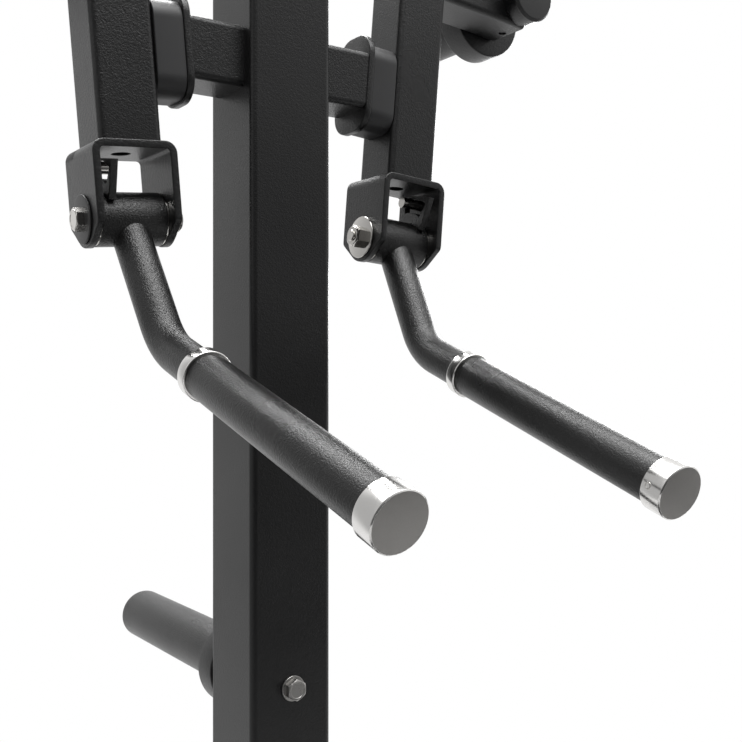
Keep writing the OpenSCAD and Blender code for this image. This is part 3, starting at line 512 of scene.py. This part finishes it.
def foldBlank(p, flat, bend, r):
    # along the blank: straight top, then a turn of radius r, then down the ear; height is across the sheet
    s, w, h = p[..., 0], p[..., 1], p[..., 2] - clevis["thickness"] / 2
    sign, d = np.sign(s), np.abs(s)
    a = np.clip((d - flat) / r, 0, math.pi / 2)
    down = np.clip(d - flat - bend, 0, None)
    x = np.minimum(d, flat) + (r + h) * np.sin(a)
    z = (r + h) * np.cos(a) - r - down
    z = z - clevis["thickness"] / 2 - machine["armLength"]
    return np.stack([sign * x, w, z], -1)


for side, hand in hands:
    blank, flat, bend, r = clevisBlank()
    angle = np.arctan2(blank[:, 1], blank[:, 0])
    hole = np.stack([np.cos(angle), np.sin(angle)], -1) * clevis["hole"] / 2
    bracket = plateWithHole("clevisPlate_" + hand, blank, hole, clevis["thickness"], clevis["edge"], 70,
                            lambda p: foldBlank(p, flat, bend, r), armToWorld(side))
    dress(bracket, "framePaint", "arm_" + hand, ("clevis_" + hand,))
print("clevises folded")


# handle: bent tube, barrel, lug
handle = {"tube": 30.0, "legAngle": 31.1, "leg": 117.6, "bend": 55.0, "slope": 19.3, "reach": 295.0,
          "barrel": 42.4, "barrelBore": 24.2, "barrelLength": 53.0, "barrelFillet": 0.8,
          "endInCap": 6.0}          # the tube's end behind the cap's face


def handlePath(stop, steps=26):
    # straight leg, arc and straight grip in the arm's YZ plane from the pivot, as points and directions
    leg, slope = math.radians(handle["legAngle"]), math.radians(90 - handle["slope"])
    turn = slope - leg
    run = handle["bend"] * math.tan(turn / 2)
    first = np.linspace(0, handle["leg"] - run, 12)
    a = np.linspace(0, turn, steps)[1:]
    last = np.linspace(0, handle["reach"] - run - stop, 40)[1:]
    along = np.array([-math.sin(leg), -math.cos(leg)])
    across = np.array([-math.cos(leg), math.sin(leg)])
    p1 = first[:, None] * along
    p2 = p1[-1] + handle["bend"] * (np.sin(a)[:, None] * along + (1 - np.cos(a))[:, None] * across)
    end = np.array([-math.sin(slope), -math.cos(slope)])
    p3 = p2[-1] + last[:, None] * end
    route = np.vstack([p1, p2, p3])
    tangent = np.vstack([np.tile(along, (len(p1), 1)),
                         np.cos(a)[:, None] * along + np.sin(a)[:, None] * across,
                         np.tile(end, (len(p3), 1))])
    corner = handle["leg"] * along
    return route, tangent, corner, end


def tubeGrid(route, tangent, radius, segments=56):
    # a circle carried along the path, square to it: one axis is X, the other the path's normal
    a = np.linspace(0, 2 * math.pi, segments, endpoint=False)
    normal = np.stack([-tangent[:, 1], tangent[:, 0]], -1)
    x = np.tile(radius * np.cos(a), (len(route), 1))
    y = route[:, 0, None] + radius * np.sin(a) * normal[:, 0, None]
    z = route[:, 1, None] + radius * np.sin(a) * normal[:, 1, None] + barrelZ
    return np.stack([x, y, z], -1)


lug = {"thickness": 6.0, "x": 15.0, "frontHigh": 41.5, "rearHigh": 49.0, "rear": 9.5, "front": 21.5,
       "foot": 12.5, "slope": 20.0, "edge": 0.5, "slotEdge": 0.4, "orbit": 39.5, "pin": 10.0, "ahead": 1.0,
       "swing": 23.0, "spare": 5.0, "over": 0.4, "under": 3.5, "gap": 0.3}


def rayHits(centre, angles, loop):
    # distance from the centre to a closed outline along each angle, by its two neighbours' polar radii
    d = loop - centre
    a = np.arctan2(d[:, 1], d[:, 0])
    order = np.argsort(a)
    a, p = a[order], d[order]
    a3 = np.concatenate([a - 2 * math.pi, a, a + 2 * math.pi])
    x3, y3 = np.tile(p[:, 0], 3), np.tile(p[:, 1], 3)
    k = np.clip(np.searchsorted(a3, angles), 1, len(a3) - 1)
    x0, y0, x1, y1 = x3[k - 1], y3[k - 1], x3[k], y3[k]
    c, s = np.cos(angles), np.sin(angles)
    return (x0 * y1 - x1 * y0) / (c * (y1 - y0) - s * (x1 - x0))


def lugOutlines():
    # Y backward, Z up from the pivot: a plate with a sloping front and top, and the arc of the pin's travel
    slope = math.tan(math.radians(lug["slope"]))
    reach = lug["front"] + (lug["frontHigh"] - lug["foot"]) * slope
    outline = np.array([[lug["rear"], lug["foot"]], [lug["rear"], lug["rearHigh"]],
                        [-reach, lug["frontHigh"]], [-lug["front"], lug["foot"]]])
    outer = lug["orbit"] + lug["pin"] / 2 + lug["over"]
    inner = lug["orbit"] - lug["pin"] / 2 - lug["under"]
    lead = math.asin(lug["ahead"] / lug["orbit"])
    half = math.asin((lug["pin"] / 2 + lug["gap"]) / lug["orbit"])
    a0 = math.pi / 2 + lead - half
    a1 = math.pi / 2 + lead + math.radians(lug["swing"] + lug["spare"]) + half
    b = np.linspace(a0, a1, 40)
    slot = np.vstack([np.stack([outer * np.cos(b), outer * np.sin(b)], -1),
                      np.stack([inner * np.cos(b[::-1]), inner * np.sin(b[::-1])], -1)])
    mid = (outer + inner) / 2
    centre = np.array([mid * math.cos((a0 + a1) / 2), mid * math.sin((a0 + a1) / 2)])
    return evenly(outline, 1200), evenly(slot, 1200), centre


for side, hand in hands:
    place = armToWorld(side)
    route, tangent, _, _ = handlePath(handle["endInCap"])
    bent = gridMesh("bentTube_" + hand, tubeGrid(route, tangent, handle["tube"] / 2), place)
    dress(bent, "handlePaint", "handle_" + hand, ("handle_" + hand,))
    h, r, bore = handle["barrelLength"] / 2, handle["barrel"] / 2, handle["barrelBore"] / 2
    profile = filleted([(bore, -h), (r, -h), (r, h), (bore, h)], handle["barrelFillet"])
    barrel = turned("barrel_" + hand, profile, (0, 0, barrelZ), (1, 0, 0), place, roundPoints["large"],
                    closedLoop=True)
    dress(barrel, "handlePaint", "handle_" + hand)
    outline, slot, centre = lugOutlines()
    a = np.linspace(-math.pi, math.pi, 480, endpoint=False)
    ray = np.stack([np.cos(a), np.sin(a)], -1)
    rim = centre + ray * rayHits(centre, a, outline)[:, None]
    gapEdge = centre + ray * rayHits(centre, a, slot)[:, None]
    ear = plateWithHole("stopLug_" + hand, rim, gapEdge, lug["thickness"], lug["edge"], 12,
                        lambda p: np.stack([lug["x"] + p[..., 2], p[..., 0], p[..., 1] + barrelZ], -1),
                        place, lug["slotEdge"])
    dress(ear, "handlePaint", "handle_" + hand)
print("handles bent")


# grip, ring and end cap along the straight end of the handle
grip = {"diameter": 34.0, "ring": 37.8, "ringWidth": 10.0, "ringBack": 226.5, "cap": 38.4,
        "capLength": 17.0, "bevel": 0.8, "rim": 0.2, "dish": 0.7, "hub": 0.5, "faceGap": 0.04,
        "sleeveFillet": 0.8, "ringFillet": 0.9, "cupFillet": 0.3, "faceFillet": 0.12}
setScrew = {"radius": 2.5, "seat": 0.6, "seatWider": 0.25, "proud": 0.12, "faceShare": 0.78,
            "holeShare": 0.5, "holeEdge": 0.1, "holeFootShare": 0.46, "holeFoot": 1.2,
            "fillet": 0.1}


def gripAxis():
    # the middle of the cap's face, and the direction from it back towards the bend
    _, _, corner, end = handlePath(0.0)
    tip = corner + handle["reach"] * end
    origin = np.array([0.0, tip[0], tip[1] + barrelZ])
    return origin, np.array([0.0, -end[0], -end[1]])


for side, hand in hands:
    place = armToWorld(side)
    origin, axis = gripAxis()
    g, c = grip["diameter"] / 2, grip["cap"] / 2
    inner = handle["tube"] / 2 + play
    sleeve = filleted([(inner, grip["capLength"]), (g, grip["capLength"]), (g, grip["ringBack"]),
                       (inner, grip["ringBack"])], grip["sleeveFillet"])
    s = turned("gripSleeve_" + hand, sleeve, origin, axis, place, roundPoints["large"], closedLoop=True)
    dress(s, "gripRubber", "handle_" + hand, ("grip_" + hand,))
    rr, b0, b1 = grip["ring"] / 2, grip["ringBack"], grip["ringBack"] + grip["ringWidth"]
    ring = filleted([(inner, b0), (rr, b0), (rr, b1), (inner, b1)], grip["ringFillet"])
    s = turned("chromeRing_" + hand, ring, origin, axis, place, roundPoints["fine"], closedLoop=True)
    dress(s, "chromeSide", "handle_" + hand, ("grip_ring_" + hand,))
    # the cap is a cup over the tube's end, with a dish in its face that the dull disc lies in
    rim, dish, hub, floor = c - grip["bevel"] - grip["rim"], grip["dish"], grip["hub"], handle["endInCap"]
    cup = filleted([(hub, dish), (rim, dish), (rim, 0), (c - grip["bevel"], 0), (c, grip["bevel"]),
                    (c, grip["capLength"]), (inner, grip["capLength"]), (inner, floor), (hub, floor)],
                   grip["cupFillet"])
    cap = turned("chromeCap_" + hand, cup, origin, axis, place, roundPoints["fine"])
    dress(cap, "chromeSide", "handle_" + hand, ("grip_cap_" + hand,))
    gap = grip["faceGap"]
    disc = filleted([(hub - 0.1, gap), (rim - gap, gap), (rim - gap, dish - 0.01)], grip["faceFillet"])
    face = turned("capFace_" + hand, disc, origin, axis, place, roundPoints["fine"])
    dress(face, "chromeFace", "handle_" + hand)
    # the set screw sits on the side that faces the middle of the machine
    seat = origin + axis * (grip["capLength"] + floor) / 2 + np.array([-c, 0, 0])
    q, proud = setScrew["radius"], -setScrew["proud"]
    socket = filleted([(q + setScrew["seatWider"], setScrew["seat"]), (q, proud),
                       (q * setScrew["faceShare"], proud), (q * setScrew["holeShare"], setScrew["holeEdge"]),
                       (q * setScrew["holeFootShare"], setScrew["holeFoot"])], setScrew["fillet"])
    screw = turned("setScrew_" + hand, socket, seat, (1, 0, 0), place, roundPoints["tiny"])
    dress(screw, "brightZinc", "handle_" + hand, ("set_screw_" + hand,))
print("grips done")


# pivot hardware along the barrel's axis
pivot = {"bolt": 10.0, "neck": 1.0, "chamfer": 0.6, "across": 16.0, "nutAcross": 17.0, "head": 6.4,
         "nut": 8.9, "nutDish": 0.04, "proud": 1.7, "disc": 38.0, "pad": 2.0, "washer": 2.0,
         "padFillet": 0.8, "shankFillet": 0.3, "washerFillet": 0.5}


def discProfile(inner, outer, low, high, fillet):
    # the cross section of a flat ring, from low to high along its axis
    return filleted([(inner, low), (outer, low), (outer, high), (inner, high)], fillet)


for side, hand in hands:
    place = armToWorld(side)
    at, out, r = np.array([0.0, 0.0, barrelZ]), clevis["width"] / 2, pivot["bolt"] / 2
    pad = turned("darkDisc_" + hand, discProfile(r + play, pivot["disc"] / 2, out, out + pivot["pad"],
                 pivot["padFillet"]), at, (1, 0, 0), place, roundPoints["large"], closedLoop=True)
    dress(pad, "capPlastic", "arm_" + hand, ("pivot_pad_" + hand,))
    head = hexHead("boltHead_" + hand, pivot["across"], pivot["head"], at + [out + pivot["pad"], 0, 0],
                   (1, 0, 0), place)
    dress(head, "brightZinc", "arm_" + hand, ("pivot_bolt_" + hand,))
    tip = -out - pivot["washer"] - pivot["nut"] - pivot["proud"]
    profile = filleted([(r - pivot["neck"], out + pivot["pad"]), (r, out + pivot["pad"] / 2),
                        (r, tip + pivot["chamfer"]), (r - pivot["chamfer"], tip)], pivot["shankFillet"])
    shank = turned("boltShank_" + hand, profile, at, (1, 0, 0), place, roundPoints["small"])
    dress(shank, "brightZinc", "arm_" + hand)
    ring = turned("brightWasher_" + hand, discProfile(r + play, pivot["disc"] / 2, out,
                  out + pivot["washer"], pivot["washerFillet"]), at, (-1, 0, 0), place, roundPoints["large"],
                  closedLoop=True)
    dress(ring, "brightZinc", "arm_" + hand, ("pivot_nut_" + hand,))
    nut = hexHead("lockNut_" + hand, pivot["nutAcross"], pivot["nut"], at - [out + pivot["washer"], 0, 0],
                  (-1, 0, 0), place, pivot["nutDish"])
    dress(nut, "brightZinc", "arm_" + hand)
print("pivot hardware done")


# weight horns and the storage peg
horn = {"diameter": 48.6, "reach": 118.0, "drop": 257.0, "front": 15.0, "collar": 82.0,
        "collarBore": 47.7, "collarWidth": 28.0, "length": 220.0, "fillet": 1.4}
hornCap = {"height": 4.0, "edge": 1.6, "slope": 2.4, "plug": 3.0, "plugInside": 4.5, "hub": 0.6,
           "fillet": 0.7}
for side, hand in hands:
    place = armToWorld(side)
    at = np.array([horn["reach"], 0, -horn["drop"]])
    y, bore = halfArm, horn["collarBore"] / 2
    ring = discProfile(bore, horn["collar"] / 2, y, y + horn["collarWidth"], horn["fillet"])
    collar = turned("hornCollar_" + hand, ring, at, (0, 1, 0), place, roundPoints["fine"], closedLoop=True)
    dress(collar, "framePaint", "arm_" + hand, ("horn_collar_" + hand,))
    r = horn["diameter"] / 2
    plug = r - hornCap["plugInside"]
    for tag, sign, base in (("rear", 1, y + horn["collarWidth"] + horn["length"]),
                            ("front", -1, y + horn["front"])):
        top = base + hornCap["height"]
        lid = filleted([(plug, base - hornCap["plug"]), (plug, base), (r, base), (r, base + hornCap["edge"]),
                        (r - hornCap["slope"], top), (hornCap["hub"], top)], hornCap["fillet"])
        cap = turned("hornCap_" + tag + "_" + hand, lid, at, (0, sign, 0), place, roundPoints["large"])
        dress(cap, "capPlastic", "arm_" + hand, ("horn_caps_" + hand,) if sign > 0 else ())

peg = {"diameter": 48.6, "length": 245.0, "endRound": 5.0, "collar": 76.0, "collarWidth": 25.0,
       "bolt": 10.0, "across": 16.0, "head": 6.5, "washer": 21.0, "washerThick": 2.0,
       "collarFillet": 1.2, "washerFillet": 0.4,
       "thinner": 0.4, "step": 0.5, "start": 0.2, "hub": 0.5}     # inside the collar the bar is thinner
rearFace = machine["columnY"] + machine["columnSide"] / 2
frontFace = machine["columnY"] - machine["columnSide"] / 2
at = np.array([0.0, rearFace, machine["pegZ"]])
r = peg["diameter"] / 2
thin, step = r - peg["thinner"], peg["step"]
profile = filleted([(thin, peg["start"]), (thin, peg["collarWidth"] - step), (r, peg["collarWidth"] + step),
                    (r, peg["length"]), (peg["hub"], peg["length"])], peg["endRound"], roundPoints["corner"])
bar = turned("storagePeg", profile, at, (0, 1, 0), frameToWorld, roundPoints["large"])
dress(bar, "handlePaint", "frame", ("storage_peg",))
ring = turned("storageCollar", discProfile(r, peg["collar"] / 2, 0, peg["collarWidth"],
              peg["collarFillet"]), at, (0, 1, 0), frameToWorld, roundPoints["fine"], closedLoop=True)
dress(ring, "framePaint", "frame", ("storage_collar",))
at = np.array([0.0, frontFace, machine["pegZ"]])
ring = turned("storageWasher", discProfile(peg["bolt"] / 2 + play, peg["washer"] / 2, 0,
              peg["washerThick"], peg["washerFillet"]), at, (0, -1, 0), frameToWorld, closedLoop=True)
dress(ring, "dullZinc", "frame", ("storage_bolt",))
head = hexHead("storageBoltHead", peg["across"], peg["head"], at - [0, peg["washerThick"], 0],
               (0, -1, 0), frameToWorld)
dress(head, "dullZinc", "frame")
print("horns and peg done")


# stage: floor, world, lamps, camera
floorLook = {"inner": 0.5, "radius": 1.35, "rings": 4, "spokes": 96, "color": 0.74, "roughness": 0.9,
             "fadeFrom": 0.6, "fadeTo": 1.25, "behindFrom": 0.1, "behindTo": 0.5}
# levels for colours and for gloss are (away from the dark side, toward it); the rest says where it is dark
studio = {"white": 1.0, "diffuse": (0.56, 0.16), "gloss": (0.95, 0.05),
          "darkToward": (-0.10, -1.00, -0.35), "darkFrom": 0.30, "darkTo": 1.05,
          "belowFrom": -0.60, "belowTo": -0.15, "belowLevel": 0.20, "frontFrom": 0.05, "frontTo": 0.50,
          "sideFrom": -0.62, "sideTo": -0.28, "sideLevel": 0.54}


def makeFloor():
    # a round sheet on the ground: rings of (radius cos angle, radius sin angle, 0)
    angle = np.linspace(0, 2 * math.pi, floorLook["spokes"], endpoint=False)
    radius = np.linspace(floorLook["inner"], floorLook["radius"], floorLook["rings"])[:, None]
    grid = np.stack([radius * np.cos(angle), radius * np.sin(angle), 0 * radius * angle], -1)
    floor = gridMesh("floor", grid, lambda p: np.asarray(p, float), capEnd=False)
    mat = bpy.data.materials.new("paleFloor")
    mat.use_nodes = True
    tree = mat.node_tree
    bsdf = tree.nodes["Principled BSDF"]
    bsdf.inputs["Base Color"].default_value = (floorLook["color"],) * 3 + (1,)
    bsdf.inputs["Roughness"].default_value = floorLook["roughness"]
    # far from the machine the floor turns into the background's white, for gloss only behind the machine
    path = node(tree, "ShaderNodeLightPath").outputs
    where = node(tree, "ShaderNodeTexCoord").outputs["Object"]
    split = node(tree, "ShaderNodeSeparateXYZ", {0: where})
    behind = eased(tree, split.outputs["Y"], floorLook["behindFrom"], floorLook["behindTo"])
    gloss = maths(tree, "MULTIPLY", path["Is Glossy Ray"], behind)
    straight = maths(tree, "MAXIMUM", path["Is Camera Ray"], path["Is Transmission Ray"])
    seen = maths(tree, "MAXIMUM", straight, gloss)
    far = node(tree, "ShaderNodeVectorMath", {0: where}, operation="LENGTH")
    fade = eased(tree, far.outputs["Value"], floorLook["fadeFrom"], floorLook["fadeTo"])
    share = maths(tree, "MULTIPLY", seen, fade)
    glow = node(tree, "ShaderNodeEmission", {"Color": (1, 1, 1, 1), "Strength": studio["white"]})
    mixed = node(tree, "ShaderNodeMixShader", {0: share, 1: bsdf.outputs[0], 2: glow.outputs[0]})
    tree.links.new(mixed.outputs[0], tree.nodes["Material Output"].inputs["Surface"])
    floor.data.materials.append(mat)
    floor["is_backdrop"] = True


def makeWorld():
    world = bpy.data.worlds.new("studio")
    bpy.context.scene.world = world
    world.use_nodes = True
    tree = world.node_tree
    back = tree.nodes["Background"]
    path = node(tree, "ShaderNodeLightPath").outputs
    where = node(tree, "ShaderNodeTexCoord").outputs["Generated"]
    # it is darker toward the front and a little down: the dot product with that direction sets the level
    toward = node(tree, "ShaderNodeVectorMath", {0: where, 1: studio["darkToward"]}, operation="DOT_PRODUCT")
    dark = eased(tree, toward.outputs["Value"], studio["darkFrom"], studio["darkTo"])
    colours = blend(tree, dark, *studio["diffuse"])
    gloss = blend(tree, dark, *studio["gloss"])
    # gloss finds less light far to the left, and below the horizon in front
    split = node(tree, "ShaderNodeSeparateXYZ", {0: where})
    front = eased(tree, split.outputs["Y"], studio["frontFrom"], studio["frontTo"], studio["belowLevel"])
    below = eased(tree, split.outputs["Z"], studio["belowFrom"], studio["belowTo"], front)
    side = eased(tree, split.outputs["X"], studio["sideFrom"], studio["sideTo"], studio["sideLevel"])
    gloss = maths(tree, "MULTIPLY", gloss, maths(tree, "MULTIPLY", side, below))
    lit = blend(tree, path["Is Glossy Ray"], colours, gloss)
    seen = maths(tree, "MAXIMUM", path["Is Camera Ray"], path["Is Transmission Ray"])
    tree.links.new(blend(tree, seen, lit, studio["white"]), back.inputs["Strength"])
    back.inputs["Color"].default_value = (1, 1, 1, 1)


lamps = [
    {"name": "leftBank", "at": (-2.4, 0.2, 2.2), "to": (0, 0.1, 0.9), "size": (1.2, 1.6), "watts": 4},
    {"name": "topBank", "at": (0.1, 1.2, 2.75), "to": (0, 0.1, 0.9), "size": (1.6, 0.7), "watts": 72,
     "glossOnly": True},
    {"name": "rimBank", "at": (2.5, 1.5, 1.5), "to": (0, 0.0, 0.9), "size": (1.1, 1.3), "watts": 40},
    {"name": "skyBank", "at": (0.15, -0.45, 3.0), "to": (0, -0.1, 0.9), "size": (2.1, 0.8), "watts": 54,
     "glossOnly": True},
    {"name": "roofBank", "at": (-0.3, 0.5, 3.1), "to": (0, 0.1, 0.9), "size": (2.0, 2.0), "watts": 22},
    {"name": "keyBank", "at": (0.5, -1.2, 2.6), "to": (0, 0.1, 0.9), "size": (2.4, 0.7), "watts": 15},
]


def aim(obj, start, target):
    # turned about X by the angle from straight down, then about Z to face the target
    d = np.subtract(target, start)
    obj.location = start
    tilt = math.atan2(math.hypot(d[0], d[1]), -d[2])
    obj.rotation_euler = (tilt, 0, math.atan2(d[1], d[0]) - math.pi / 2)


def makeLamps():
    for lamp in lamps:
        data = bpy.data.lights.new(lamp["name"], "AREA")
        data.shape = "RECTANGLE"
        data.size, data.size_y = lamp["size"]
        data.energy = lamp["watts"]
        obj = bpy.data.objects.new(lamp["name"], data)
        bpy.context.scene.collection.objects.link(obj)
        # topBank and skyBank show only in gloss, so that the light on the colours stays plain
        obj.visible_diffuse = not lamp.get("glossOnly", False)
        aim(obj, lamp["at"], lamp["to"])


lens = {"at": (-0.4253, -0.6532, 0.800), "yaw": 34.79, "mm": 49.33, "sensor": 36.0, "near": 0.02}


def makeCamera():
    data = bpy.data.cameras.new("photoCamera")
    data.sensor_width = lens["sensor"]
    data.lens = lens["mm"]
    data.clip_start = lens["near"]
    camera = bpy.data.objects.new("photoCamera", data)
    bpy.context.scene.collection.objects.link(camera)
    camera.location = lens["at"]
    camera.rotation_euler = (math.pi / 2, 0, -math.radians(lens["yaw"]))
    bpy.context.scene.camera = camera


makeFloor()
makeWorld()
makeLamps()
makeCamera()
bpy.context.scene.view_settings.view_transform = "Standard"
print("studio ready")

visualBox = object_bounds()
asList = lambda box: [[float(v) for v in corner] for corner in box]
{"cad": asList(cadBox), "visual": asList(visualBox)}
